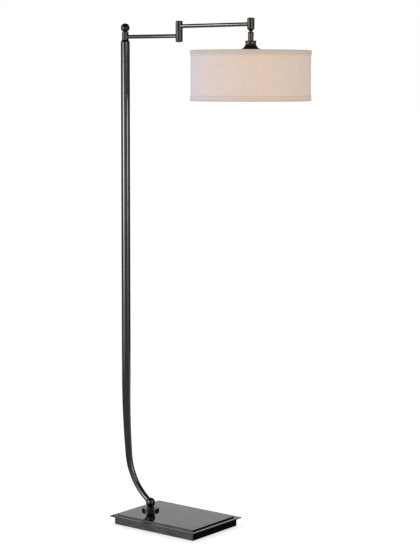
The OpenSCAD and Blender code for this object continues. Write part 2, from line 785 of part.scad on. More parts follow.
module foot_flange() {
  color("#2c2b2c") translate([foot_x, 0, z_top]) rotate_extrude() difference() {
    union() {
      square([flange_d / 2 - flange_round, flange_h]);
      square([flange_d / 2, flange_h - flange_round]);
      translate([flange_d / 2 - flange_round, flange_h - flange_round]) circle(r = flange_round);
    }
    square([pipe_r + fit_gap, flange_h]);
  }
}

module foot_collar() {
  color("#2c2b2c") translate([foot_x, 0, z_collar]) tube(collar_d / 2, pipe_r + fit_gap, collar_h);
}

// Ball on a flat, bored upright for the pipe and aslant for the post's tip
module foot_ball() {
  color("#1d1c1d") translate([foot_x, 0, z_ball]) difference() {
    sphere(r = foot_ball_r, $fn = 96);
    translate([0, 0, -foot_ball_r - FLAT_CUT / 2 + foot_ball_flat]) cube(FLAT_CUT, center = true);
    translate([0, 0, -foot_ball_r - 1]) cylinder(h = foot_ball_r + 1, r = pipe_r + fit_gap);
    sphere(r = ball_cavity_d / 2, $fn = 48);
    rotate([0, -bend_a, 0]) translate([0, 0, tip_seat - end_gap])
      cylinder(h = foot_ball_d, r = tip_r + run_gap);
    rotate([0, -bend_a, 0]) cylinder(h = foot_ball_r, r = ball_channel_d / 2);
  }
}

module foot_pipe() {
  color("silver") translate([foot_x, 0, z_pipe]) tube(pipe_r, bore_r, z_pipe_top - z_pipe);
}

module foot_washer() {
  color("silver") translate([foot_x, 0, z_foot_washer])
    tube(foot_washer_d / 2, pipe_r + washer_gap, foot_washer_t);
}

module foot_nut() {
  color("silver") translate([foot_x, 0, z_foot_nut]) nut(foot_nut_d, foot_nut_t, pipe_r + fit_gap);
}

// Post

// Lower tube: tapers along the bend from the ball up to its full diameter
module post_lower() {
  color("#343334") swept_tube(post_route, [for (s = post_route) post_radius(s)], post_wall, POST_SIDES);
}

module post_coupler() {
  r = post_bore_r - coupler_gap;
  color("silver") translate([post_x, 0, post_joint_h - coupler_l / 2]) tube(r, r - coupler_wall, coupler_l);
}

module post_upper() {
  color("#343334") translate([post_x, 0, post_joint_h]) tube(post_r, post_bore_r, post_h - post_joint_h);
}

// Plug and cone that close the post and carry the spindle
module post_shoulder() {
  color("#3a393a") translate([post_x, 0, 0]) difference() {
    union() {
      translate([0, 0, post_h - shoulder_plug_l])
        cylinder(h = shoulder_plug_l + 1, r = post_bore_r - fit_gap);
      translate([0, 0, post_h]) cylinder(h = shoulder_h, r1 = post_r, r2 = sleeve_d / 2);
    }
    translate([0, 0, post_h - shoulder_plug_l - 1])
      cylinder(h = shoulder_plug_l + shoulder_h + 2, r = pivot_r + fit_gap);
  }
}

// Hollow pivot of the lower arm, with a window where the lead turns into the arm
module swivel_spindle() {
  window_w = lead_d + 2 * window_gap;
  window_z = z_lower_lead - lead_bend - 2 * window_gap;
  color("silver") difference() {
    translate([post_x, 0, z_spindle]) tube(pivot_r, bore_r, z_spindle_top - z_spindle);
    translate([post_x, -window_w / 2, window_z])
      cube([pivot_d, window_w, z_lower_lead + lead_r + window_gap - window_z]);
  }
}

module top_ball() {
  color("#262526") translate([post_x, 0, z_top_ball]) difference() {
    sphere(r = top_ball_r, $fn = 96);
    translate([0, 0, -top_ball_r - FLAT_CUT / 2 + top_ball_flat]) cube(FLAT_CUT, center = true);
    translate([0, 0, -top_ball_r - 1])
      cylinder(h = z_spindle_top - z_top_ball + end_gap + top_ball_r + 1, r = pivot_r + fit_gap);
  }
}

// Lead from the inlet through the foot, the ball, the post and out of the spindle's window
module post_lead() {
  start = [inlet_end + end_gap, z_inlet, 90, 0];
  path = route(start, [
    [foot_x - foot_lead_bend - start[0]],
    [foot_lead_bend, -90, 6],
    [z_pipe_top - z_inlet - foot_lead_bend],
    [lead_ball_bend, -bend_a, 5],
    [tip_l - ball_tangent],
    [bend_r, bend_a - sweep_a, 12],
    [sweep_r, sweep_a, 4],
    [z_lower_lead - lead_bend - rise_z],
    [lead_bend, 90, 6],
    [post_lead_over]
  ]);
  color("#222222") swept_rod(path, [for (s = path) lead_r], LEAD_SIDES);
}

// Lower arm

module arm_sleeve() {
  color("#3a393a") on_lower_arm() difference() {
    translate([0, 0, -sleeve_arm_rise]) tube(sleeve_d / 2, chamber_r, sleeve_h);
    arm_socket();
  }
}

module sleeve_bushes() {
  color("#262626") translate([post_x, 0, 0]) {
    translate([0, 0, z_sleeve]) mirror([0, 0, 1]) bush(sleeve_d / 2, lower_bush_l);
    translate([0, 0, z_sleeve_top]) bush(sleeve_d / 2, bush_l);
  }
}

module lower_arm_tube() {
  color("#4a494a") on_lower_arm() arm_tube(lower_arm_l);
}

module elbow_lower_knuckle() {
  color("#3a393a") on_lower_arm() translate([lower_arm_l, 0, 0]) difference() {
    translate([0, 0, knuckle_axis - body_h]) tube(knuckle_d / 2, chamber_r, body_h);
    mirror([1, 0, 0]) arm_socket();
  }
}

module elbow_bush() {
  color("#262626") at_elbow(z_seam) bush(knuckle_d / 2, bush_l);
}

module elbow_bottom_cap() {
  color("#343334") at_elbow(z_seam - body_h) mirror([0, 0, 1])
    crowned_cap(knuckle_d / 2, cap_h + bottom_cap_more, cap_crown, bottom_cap_edge);
}

// Lead along the lower arm, turned up into the elbow's pivot
module lower_arm_lead() {
  start = [arm_seat + end_gap, -lead_sag, 90, 0];
  path = route(start, [
    [lower_arm_l - lead_bend - start[0]],
    [lead_bend, -90, 6],
    [elbow_lead_over]
  ]);
  color("#222222") on_lower_arm() swept_rod(path, [for (s = path) lead_r], LEAD_SIDES);
}

// Upper arm

module elbow_upper_knuckle() {
  color("#3a393a") on_upper_arm() difference() {
    translate([0, 0, -knuckle_axis]) cylinder(h = body_h, r = knuckle_d / 2);
    translate([0, 0, knuckle_floor - knuckle_axis]) cylinder(h = body_h, r = chamber_r);
    translate([0, 0, -knuckle_axis - 1]) cylinder(h = knuckle_floor + 2, r = pivot_r + fit_gap);
    arm_socket();
  }
}

module elbow_top_cap() {
  color("#343334") at_elbow(z_upper_knuckle + body_h)
    crowned_cap(knuckle_d / 2, cap_h, cap_crown, cap_edge);
}

module elbow_pivot() {
  color("silver") at_elbow(z_pivot) tube(pivot_r, bore_r, z_pivot_top - z_pivot);
}

module elbow_washer() {
  color("silver") at_elbow(z_elbow_washer) pivot_washer();
}

module elbow_nut() {
  color("silver") at_elbow(z_elbow_nut) nut(nut_d, nut_t, pivot_r + fit_gap);
}

module upper_arm_tube() {
  color("#4a494a") on_upper_arm() arm_tube(upper_arm_l);
}

// Hub on the arm's end: chamber above, cone below, bored for the shade's pipe
module end_hub() {
  hub_r = hub_d / 2;
  color("#3a393a") on_upper_arm() translate([upper_arm_l, 0, 0]) difference() {
    union() {
      translate([0, 0, -hub_drop]) cylinder(h = hub_drop + hub_rise, r = hub_r);
      translate([0, 0, -hub_drop - hub_cone_h]) cylinder(h = hub_cone_h, r1 = hub_cone_d / 2, r2 = hub_r);
    }
    translate([0, 0, z_hub_floor - z_upper_arm]) cylinder(h = FLAT_CUT, r = chamber_r);
    translate([0, 0, z_hub - z_upper_arm - 1]) cylinder(h = FLAT_CUT / 2, r = pivot_r + run_gap);
    mirror([1, 0, 0]) arm_socket();
  }
}

module end_hub_cap() {
  color("#343334") at_hub(z_upper_arm + hub_rise)
    crowned_cap(hub_d / 2, hub_cap_h, hub_cap_crown, hub_cap_edge);
}

// Lead up the elbow's pivot, along the upper arm and down into the shade's pipe
module upper_arm_lead() {
  start = [0, z_lower_lead + lead_bend + elbow_lead_over + end_gap - z_upper_arm, 0, 0];
  path = route(start, [
    [-lead_sag - lead_bend - start[1]],
    [lead_bend, 90, 6],
    [upper_arm_l - 2 * lead_bend],
    [lead_bend, 90, 6],
    [hub_lead_over]
  ]);
  color("#222222") on_upper_arm() swept_rod(path, [for (s = path) lead_r], LEAD_SIDES);
}

// Stem, canopy and socket

module shade_pipe() {
  color("#2a2828") at_hub(z_dome + pipe_stop) tube(pivot_r, bore_r, z_pipe_end - z_dome - pipe_stop);
}

module hub_washer() {
  color("silver") at_hub(z_hub_floor) pivot_washer();
}

module hub_nut() {
  color("silver") at_hub(z_hub_nut) nut(nut_d, nut_t, pivot_r + fit_gap);
}

// Turned stem, a slow cone under a round shoulder
module shade_stem() {
  top_r = stem_top_d / 2;
  color("#3a393a") at_hub(z_canopy) rotate_extrude() difference() {
    union() {
      polygon([[0, 0], [stem_foot_d / 2, 0], [top_r, stem_h - stem_round], [0, stem_h - stem_round]]);
      translate([0, stem_h - stem_round - 1]) square([top_r - stem_round, stem_round + 1]);
      translate([top_r - stem_round, stem_h - stem_round]) circle(r = stem_round);
    }
    square([pivot_r + fit_gap, stem_h + 1]);
  }
}

// Spun bell: one concave flare from the top disc to a flat rim with a turned lip
module bell_canopy() {
  color("#242221") at_hub(0) rotate_extrude() {
    intersection() {
      difference() {
        translate([flare_axis, z_waist]) circle(r = flare_r + canopy_t, $fn = 128);
        translate([flare_axis, z_waist]) circle(r = flare_r, $fn = 128);
      }
      translate([0, z_flare - canopy_t]) square([flare_axis, z_canopy - z_flare + canopy_t]);
    }
    translate([pivot_r + fit_gap, z_canopy - canopy_t]) square([waist_r - pivot_r, canopy_t]);
    translate([flare_axis, z_flare - canopy_t]) square([canopy_r - flare_axis, canopy_t]);
    translate([canopy_r - canopy_t, z_flare - canopy_lip]) square([canopy_t, canopy_lip]);
  }
}

// Domed metal cap of the socket, screwed on the pipe
module socket_cap() {
  color("#b8933f") at_hub(0) difference() {
    union() {
      translate([0, 0, z_dome - neck_root])
        cylinder(h = socket_neck_h + neck_root, r = socket_neck_d / 2);
      socket_cap_form(socket_r, socket_dome_r, z_cap_edge);
    }
    socket_cap_form(socket_r - socket_wall, socket_dome_r - socket_wall, z_cap_edge - 1);
    translate([0, 0, z_cap_edge]) cylinder(h = FLAT_CUT, r = pivot_r + fit_gap);
  }
}

module socket_cap_form(r, ball_r, z) {
  intersection() {
    translate([0, 0, z]) cylinder(h = z_dome - z + 1, r = r);
    translate([0, 0, z_dome - socket_dome_r]) union() {
      sphere(r = ball_r, $fn = 96);
      translate([0, 0, -FLAT_CUT]) cylinder(h = FLAT_CUT, r = r + 1);
    }
  }
}

// Shell under the cap: a flange that the shade's washer bears on, and a threaded skirt
module socket_shell() {
  thread_r = skirt_thread_d / 2;
  color("#b8933f") at_hub(0) difference() {
    union() {
      translate([0, 0, z_seat]) cylinder(h = z_cap_edge + shell_lap - z_seat, r = shell_r);
      translate([0, 0, z_seat]) cylinder(h = seat_flange_t, r = seat_flange_d / 2);
      translate([0, 0, z_mouth]) cylinder(h = z_seat - z_mouth + 1, r = thread_r);
    }
    translate([0, 0, z_mouth - 1])
      cylinder(h = z_cap_edge + shell_lap - z_mouth + 2, r = shell_r - socket_wall);
    translate([0, 0, z_switch]) rotate([0, 90, 0])
      cylinder(h = FLAT_CUT, r = switch_stem_d / 2 + switch_gap);
  }
}

// Insulating body: a block that holds the switch, and a sleeve round the screw shell
module socket_liner() {
  color("#4a3a2a") at_hub(0) difference() {
    translate([0, 0, z_mouth + liner_inset])
      cylinder(h = z_liner_top - z_mouth - liner_inset, r = liner_r);
    translate([0, 0, z_mouth - 1]) cylinder(h = z_screw_top - z_mouth + 1, r = screw_shell_r + fit_gap);
    translate([liner_r - switch_bore, 0, z_switch]) rotate([0, 90, 0])
      cylinder(h = FLAT_CUT, r = switch_stem_d / 2 + run_gap);
  }
}

module screw_shell() {
  color("gold") at_hub(0) difference() {
    translate([0, 0, z_mouth + screw_shell_inset])
      cylinder(h = socket_depth - screw_shell_inset, r = screw_shell_r);
    translate([0, 0, z_mouth]) cylinder(h = socket_depth - screw_shell_t, r = screw_bore_r);
    translate([0, 0, z_mouth]) cylinder(h = FLAT_CUT, r = screw_hole_d / 2);
  }
}

module centre_contact() {
  color("gold") at_hub(z_bulb_tip) cylinder(h = contact_h, r = contact_d / 2);
}

// Ring screwed on the skirt, with finger notches, that clamps the shade's washer
module shade_clamp_ring() {
  notches = 12;
  color("#e8e4da") at_hub(z_seat - washer_t - clamp_ring_h) difference() {
    tube(clamp_ring_d / 2, skirt_thread_d / 2 + fit_gap, clamp_ring_h);
    for (k = [0 : notches - 1]) rotate([0, 0, 360 * k / notches])
      translate([(clamp_ring_d + notch_d) / 2 - notch_depth, 0, -1])
        cylinder(h = clamp_ring_h - 1, r = notch_d / 2);
  }
}

// Shade

// Wire ring under the shade's top edge, with spokes that dip to a washer
module shade_spider() {
  z_washer = z_seat - washer_t;
  inner = [washer_d / 2 - spoke_lap, z_washer + washer_t / 2 + wire_r - weld_depth];
  outer = [ring_r, z_top_ring];
  run = outer - inner;
  color("#c9c9c9") at_hub(0) difference() {
    union() {
      translate([0, 0, z_top_ring]) rotate_extrude() translate([ring_r, 0]) circle(r = wire_r);
      translate([0, 0, z_washer]) cylinder(h = washer_t, r = washer_d / 2);
      for (k = [0 : spokes - 1]) rotate([0, 0, 180 + 360 * k / spokes])
        translate([inner[0], 0, inner[1]]) rotate([0, 90 - atan2(run[1], run[0]), 0])
          cylinder(h = norm(run), r = wire_r);
    }
    translate([0, 0, z_washer - 1]) cylinder(h = FLAT_CUT, r = skirt_thread_d / 2 + shade_washer_gap);
    translate([0, 0, z_seat]) cylinder(h = FLAT_CUT, r = seat_flange_d / 2 + shade_washer_gap);
  }
}

module shade_bottom_ring() {
  color("#c9c9c9") at_hub(z_bottom_ring) rotate_extrude() translate([ring_r, 0]) circle(r = wire_r);
}

module shade_drum() {
  color("#e2cdbb") at_hub(z_shade + fold_t) tube(drum_r, drum_bore_r, shade_h - 2 * fold_t);
}

// Band that is folded over the drum's edge: z = 0 is the shade's edge, and it runs up
module shade_trim() {
  rotate_extrude($fn = 128) {
    translate([drum_r + trim_gap, 0]) square([trim_t - trim_gap, trim_h]);
    translate([drum_bore_r - fold_t, 0]) square([fabric_t + fold_t + trim_t, fold_t - trim_gap]);
    translate([drum_bore_r - fold_t, 0]) square([fold_t - trim_gap, fold_h]);
  }
}

module shade_top_trim() {
  color("#dcc8b8") at_hub(z_shade_top) mirror([0, 0, 1]) shade_trim();
}

module shade_bottom_trim() {
  color("#dcc8b8") at_hub(z_shade) shade_trim();
}

// Bulb and switch

module bulb_base() {
  color("#b9b9b4") at_hub(0) {
    translate([0, 0, z_bulb_neck])
      cylinder(h = z_bulb_tip - base_taper_h - z_bulb_neck, r = bulb_base_d / 2);
    translate([0, 0, z_bulb_tip - base_taper_h])
      cylinder(h = base_taper_h, r1 = base_taper_d / 2, r2 = contact_d / 2);
  }
}

// Ball and a tangent cone that runs up to the lamp base
module bulb_outline(ball_r, neck_r, neck_z) {
  reach = norm([neck_r, neck_z]);
  a = atan2(neck_z, neck_r) - acos(ball_r / reach);
  circle(r = ball_r, $fn = 96);
  polygon([[0, 0], [ball_r * cos(a), ball_r * sin(a)], [neck_r, neck_z], [0, neck_z]]);
}

module bulb_glass() {
  neck_r = bulb_base_d / 2 - bulb_neck_in;
  neck_z = z_bulb_neck - z_bulb;
  color([1, 1, 0.96]) at_hub(z_bulb) rotate_extrude() intersection() {
    difference() {
      bulb_outline(bulb_r, neck_r, neck_z);
      bulb_outline(bulb_r - bulb_t, neck_r - bulb_t, neck_z);
    }
    translate([0, -bulb_r]) square([bulb_r, bulb_r + neck_z]);
  }
}

module socket_lead() {
  bottom = z_liner_top + end_gap;
  color("#222222") at_hub(bottom)
    cylinder(h = z_upper_lead - lead_bend - hub_lead_over - end_gap - bottom, r = lead_r);
}

module switch_stem() {
  inner = liner_r - switch_bore + end_gap;
  color("silver") at_hub(z_switch) translate([inner, 0, 0]) rotate([0, 90, 0])
    cylinder(h = switch_reach + knob_l / 2 - inner, r = switch_stem_d / 2);
}

// Fluted knob pressed on the switch's stem
module switch_knob() {
  flutes = 12;
  color("#1c1c1c") at_hub(z_switch) translate([switch_reach, 0, 0]) rotate([0, 90, 0]) difference() {
    cylinder(h = knob_l, r = knob_d / 2);
    translate([0, 0, -1]) cylinder(h = knob_l / 2 + 1 + end_gap, r = switch_stem_d / 2 + fit_gap);
    for (k = [0 : flutes - 1]) rotate([0, 0, 360 * k / flutes])
      translate([(knob_d + flute_d) / 2 - flute_depth, 0, knob_collar])
        cylinder(h = knob_l, r = flute_d / 2);
  }
}

base_plinth();
base_plate();
base_panel();
base_ballast();
ballast_screws();
base_cover();
cover_screws();
base_felt();
cord_bushing();
foot_flange();
foot_collar();
foot_ball();
foot_pipe();
foot_washer();
foot_nut();
post_lower();
post_coupler();
post_upper();
post_shoulder();
swivel_spindle();
top_ball();
post_lead();
arm_sleeve();
sleeve_bushes();
lower_arm_tube();
elbow_lower_knuckle();
elbow_bush();
elbow_bottom_cap();
lower_arm_lead();
elbow_upper_knuckle();
elbow_top_cap();
elbow_pivot();
elbow_washer();
elbow_nut();
upper_arm_tube();
end_hub();
end_hub_cap();
upper_arm_lead();
shade_pipe();
hub_washer();
hub_nut();
shade_stem();
bell_canopy();
socket_cap();
socket_shell();
socket_liner();
screw_shell();
centre_contact();
shade_clamp_ring();
shade_spider();
shade_bottom_ring();
shade_drum();
shade_top_trim();
shade_bottom_trim();
bulb_base();
bulb_glass();
socket_lead();
switch_stem();
switch_knob();
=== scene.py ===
"""Looks of the double swing-arm floor lamp: materials, linen shade, felt, floor, light and camera."""

import math

import bmesh
import bpy
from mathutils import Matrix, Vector, noise


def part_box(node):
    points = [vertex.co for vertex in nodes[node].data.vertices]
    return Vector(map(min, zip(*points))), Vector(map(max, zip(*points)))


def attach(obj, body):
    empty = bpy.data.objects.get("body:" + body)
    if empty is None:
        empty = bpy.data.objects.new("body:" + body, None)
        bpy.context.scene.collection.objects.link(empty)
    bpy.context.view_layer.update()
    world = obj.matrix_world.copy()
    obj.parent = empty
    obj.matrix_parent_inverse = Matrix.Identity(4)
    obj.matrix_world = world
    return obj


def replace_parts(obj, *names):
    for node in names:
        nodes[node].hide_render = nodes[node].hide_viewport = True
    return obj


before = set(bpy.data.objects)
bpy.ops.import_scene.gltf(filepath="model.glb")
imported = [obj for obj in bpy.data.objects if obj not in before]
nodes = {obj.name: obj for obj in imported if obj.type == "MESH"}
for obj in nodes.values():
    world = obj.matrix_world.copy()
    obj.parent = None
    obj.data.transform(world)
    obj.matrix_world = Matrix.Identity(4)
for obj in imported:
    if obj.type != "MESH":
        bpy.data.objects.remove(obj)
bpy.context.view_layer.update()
MM = 0.001


def add_object(name, data):
    """A new object in the scene for a mesh, lamp or camera."""
    made = bpy.data.objects.new(name, data)
    bpy.context.scene.collection.objects.link(made)
    return made


# Camera at the photograph's viewpoint. It looks slightly down, and the shift lifts the picture the
# rest of the way, so that the post stays upright.

CAMERA_AT = (3.4044, -4.1771, 1.480)
CAMERA_YAW = 37.98
CAMERA_PITCH = 4.64
CAMERA_ROLL = -0.06
SENSOR_WIDTH = 36
LENS = 106.08
SHIFT = -0.12
CLIP_END = 200

camera = add_object("camera", bpy.data.cameras.new("camera"))
camera.location = CAMERA_AT
camera.rotation_euler = [math.radians(a) for a in (90 - CAMERA_PITCH, CAMERA_ROLL, CAMERA_YAW)]
camera.data.sensor_width = SENSOR_WIDTH
camera.data.lens = LENS
camera.data.shift_y = SHIFT
camera.data.clip_end = CLIP_END
bpy.context.scene.camera = camera


# Node graphs

def scaled(colour, factor):
    return tuple(factor * c for c in colour)


class Paint:
    """A material with a Principled shader and short calls to add nodes to it."""

    def __init__(self, name, colour, metallic, roughness):
        self.material = bpy.data.materials.new(name)
        self.material.use_nodes = True
        self.tree = self.material.node_tree
        self.shader = self.tree.nodes["Principled BSDF"]
        self.surface({"Base Color": (*colour, 1), "Metallic": metallic, "Roughness": roughness})

    def put(self, target, value):
        """Sets a socket to a value, or links another socket to it."""
        if isinstance(value, bpy.types.NodeSocket):
            self.tree.links.new(value, target)
        elif value is not None:
            target.default_value = value

    def surface(self, values):
        """Puts each value on the shader's own socket of that name."""
        for name, value in values.items():
            self.put(self.shader.inputs[name], value)

    def node(self, kind, inputs=None, **settings):
        made = self.tree.nodes.new("ShaderNode" + kind)
        for key, value in settings.items():
            setattr(made, key, value)
        for key, value in (inputs or {}).items():
            self.put(made.inputs[key], value)
        return made

    def place(self, kind="Object"):
        """Texture coordinates: Object or UV."""
        return self.node("TexCoord").outputs[kind]

    def math(self, operation, a, b=None):
        made = self.node("Math", operation=operation)
        for socket, value in zip(made.inputs, (a, b)):
            self.put(socket, value)
        return made.outputs[0]

    def noise(self, where, scale, detail, roughness, stretch=None):
        if stretch is not None:
            where = self.node("Mapping", {"Vector": where, "Scale": stretch}).outputs[0]
        made = self.node("TexNoise", {"Vector": where, "Scale": scale, "Detail": detail, "Roughness": roughness})
        return made.outputs[0]

    def between(self, value, low, high, to_low=0, to_high=1):
        """Maps low to to_low and high to to_high, and clamps outside them."""
        made = self.node("MapRange", {"Value": value, "From Min": low, "From Max": high,
                                      "To Min": to_low, "To Max": to_high})
        return made.outputs[0]

    def mix(self, factor, a, b, blend="MIX"):
        """Mixes two colours; sockets 6 and 7 are the node's colours in, and 2 its colour out."""
        made = self.node("Mix", data_type="RGBA", blend_type=blend)
        self.put(made.inputs[0], factor)
        self.put(made.inputs[6], (*a, 1) if isinstance(a, tuple) else a)
        self.put(made.inputs[7], (*b, 1) if isinstance(b, tuple) else b)
        return made.outputs[2]

    def bump(self, height, strength, distance):
        made = self.node("Bump", {"Height": height, "Strength": strength, "Distance": distance})
        self.surface({"Normal": made.outputs[0]})

    def worn_edges(self, radius):
        """1 on sharp edges and 0 on flat faces, by the angle between the rounded normal and the plain one."""
        rounded = self.node("Bevel", {"Radius": radius}, samples=4).outputs[0]
        plain = self.node("NewGeometry").outputs["Normal"]
        dot = self.node("VectorMath", {0: rounded, 1: plain}, operation="DOT_PRODUCT").outputs["Value"]
        return self.between(dot, 0.995, 0.86)


def dark_metal(name, colour, worn, roughness, spread, brush=None, edge=0, grain=0.02, tint=0.8, streak=0):
    """Hand-rubbed dark plating: cloudy tone and streaked satin gloss. brush stretches the rubbing marks,
    edge is the width of slightly paler edges, and streak says how much the marks tone the metal."""
    paint = Paint(name, colour, 1.0, roughness)
    where = paint.place()
    cloud = paint.noise(where, 26, 4, 0.6)
    rub = paint.noise(where, 140, 3, 0.6, brush)
    fine = paint.noise(where, 900, 2, 0.5, brush)
    tone = paint.mix(paint.between(cloud, 0.3, 0.7), scaled(colour, 0.86), scaled(colour, 1.15))
    tone = paint.mix(paint.between(fine, 0.35, 0.75, 0, 0.1), tone, worn)
    if streak:
        tone = paint.mix(paint.between(rub, 0.42, 0.66, 0, streak), tone, worn)
    if edge:
        tone = paint.mix(paint.math("MULTIPLY", paint.worn_edges(edge), 0.5), tone, worn)
    gloss = paint.between(rub, 0.25, 0.75, roughness - spread, roughness + spread)
    paint.surface({"Base Color": tone, "Roughness": gloss, "Specular Tint": (tint, tint, tint, 1)})
    paint.bump(fine, grain, 0.2 * MM)
    return paint.material


def plain_metal(name, colour, roughness, scale, spread=0.06):
    """Plated or cast metal of one tone, with handling marks."""
    paint = Paint(name, colour, 1.0, roughness)
    where = paint.place()
    marks = paint.noise(where, scale, 3, 0.6)
    cloud = paint.noise(where, 40, 3, 0.5)
    paint.surface({"Base Color": paint.mix(paint.between(cloud, 0.3, 0.7), scaled(colour, 0.82), colour),
                   "Roughness": paint.between(marks, 0.3, 0.7, roughness - spread, roughness + spread)})
    paint.bump(marks, 0.05, 0.1 * MM)
    return paint.material


def plain_solid(name, colour, roughness, scale=300, grain=0.08, shade=0.85, coat=0.0):
    """Moulded plastic, rubber, board or paint with a fine grain."""
    paint = Paint(name, colour, 0.0, roughness)
    marks = paint.noise(paint.place(), scale, 4, 0.6)
    paint.surface({"Base Color": paint.mix(paint.between(marks, 0.3, 0.7), scaled(colour, shade), colour),
                   "Roughness": paint.between(marks, 0.2, 0.8, roughness - 0.05, roughness + 0.08),
                   "Coat Weight": coat})
    paint.bump(marks, grain, 0.1 * MM)
    return paint.material


YARN_PITCH = 0.75 * MM
YARN_SWAY = 0.5 * MM
COOL = (0.9, 0.885, 0.955)    # the linen's cooler patches, as shares of the weft's colour


def linen(name, warp, weft, slub, fades=()):
    """Slubby linen on the UV map, which is in metres: u runs round the drum and v up it.
    Each fade paints shade, as (height a, height b, tone at a, tone at b)."""
    paint = Paint(name, warp, 0.0, 0.85)
    where = paint.place("UV")
    round_drum, up_drum, _ = paint.node("SeparateXYZ", {0: where}).outputs
    sway = paint.math("MULTIPLY", paint.noise(where, 70, 2, 0.5), YARN_SWAY)

    def yarns(along):
        """Round ridges side by side, one for each yarn."""
        phase = paint.math("MULTIPLY", paint.math("ADD", along, sway), math.pi / YARN_PITCH)
        return paint.math("ABSOLUTE", paint.math("SINE", phase))

    weave = paint.math("MAXIMUM", yarns(up_drum), paint.math("MULTIPLY", yarns(round_drum), 0.9))
    # Slubs: thick places in single yarns, long and thin, most of them in the weft
    thick = paint.between(paint.noise(where, 1, 3, 0.6, (38, 900, 1)), 0.56, 0.72)
    thin = paint.between(paint.noise(where, 1, 3, 0.6, (700, 30, 1)), 0.6, 0.75)
    streaks = paint.noise(where, 1, 4, 0.65, (22, 260, 1))
    cloud = paint.noise(where, 24, 4, 0.6)
    patches = paint.noise(where, 48, 4, 0.6, (1, 1.7, 1))
    rain = paint.noise(where, 1, 3, 0.6, (240, 16, 1))
    cool = tuple(k * c for k, c in zip(COOL, weft))
    tone = paint.mix(paint.between(streaks, 0.32, 0.68), warp, weft)
    tone = paint.mix(paint.between(cloud, 0.3, 0.7, 0, 0.5), tone, slub)
    tone = paint.mix(paint.between(patches, 0.38, 0.62, 0, 0.55), tone, cool)
    tone = paint.mix(paint.between(rain, 0.4, 0.64, 0, 0.4), tone, scaled(weft, 0.9))
    tone = paint.mix(paint.math("MULTIPLY", thick, 0.4), tone, slub)
    tone = paint.mix(paint.math("MULTIPLY", thin, 0.25), tone, scaled(weft, 0.86))
    # Painted shade in the gaps between the yarns
    tone = paint.mix(paint.between(weave, 0.0, 0.6, 0.35, 0), tone, scaled(warp, 0.62))
    if fades:
        z = paint.node("SeparateXYZ", {0: paint.place()}).outputs[2]
        for low, high, at_low, at_high in fades:
            tone = paint.mix(1.0, tone, paint.between(z, low, high, at_low, at_high), "MULTIPLY")
    paint.surface({"Base Color": tone, "Sheen Weight": 0.1, "Sheen Roughness": 0.5, "Specular IOR Level": 0.25})
    height = paint.math("ADD", weave, paint.math("MULTIPLY", thick, 1.4))
    height = paint.math("ADD", height, paint.math("MULTIPLY", thin, 0.9))
    paint.bump(height, 0.5, 0.12 * MM)
    return paint.material


def felt_cloth(name, colour):
    paint = Paint(name, colour, 0.0, 0.95)
    where = paint.place()
    fibres = paint.noise(where, 1500, 4, 0.7)
    tufts = paint.noise(where, 160, 3, 0.6)
    tone = paint.mix(paint.between(fibres, 0.3, 0.7), scaled(colour, 0.55), scaled(colour, 1.6))
    paint.surface({"Base Color": tone, "Sheen Weight": 0.4})
    paint.bump(paint.math("ADD", fibres, tufts), 0.6, 0.3 * MM)
    return paint.material


def frosted_glass(name):
    paint = Paint(name, (0.9, 0.9, 0.87), 0.0, 0.3)
    mist = paint.noise(paint.place(), 120, 3, 0.5)
    paint.surface({"Roughness": paint.between(mist, 0.3, 0.7, 0.26, 0.36),
                   "Base Color": paint.mix(paint.between(mist, 0.3, 0.7), (0.86, 0.86, 0.83), (0.93, 0.93, 0.9)),
                   "Transmission Weight": 0.45, "Coat Weight": 0.5, "Coat Roughness": 0.08})
    return paint.material


# Materials of the record's slots, by slot. Linen has its warp's, weft's and slubs' colours.

LINEN = (0.711, 0.571, 0.461), (0.784, 0.643, 0.53), (0.8, 0.667, 0.552)
# The same linen made darker: painted shade for the bands
LINEN_SHADED = (0.628, 0.527, 0.447), (0.694, 0.592, 0.51), (0.719, 0.622, 0.535)


def slot_of(material):
    """The material's name without the number that Blender may add."""
    return material.name.split(".")[0]


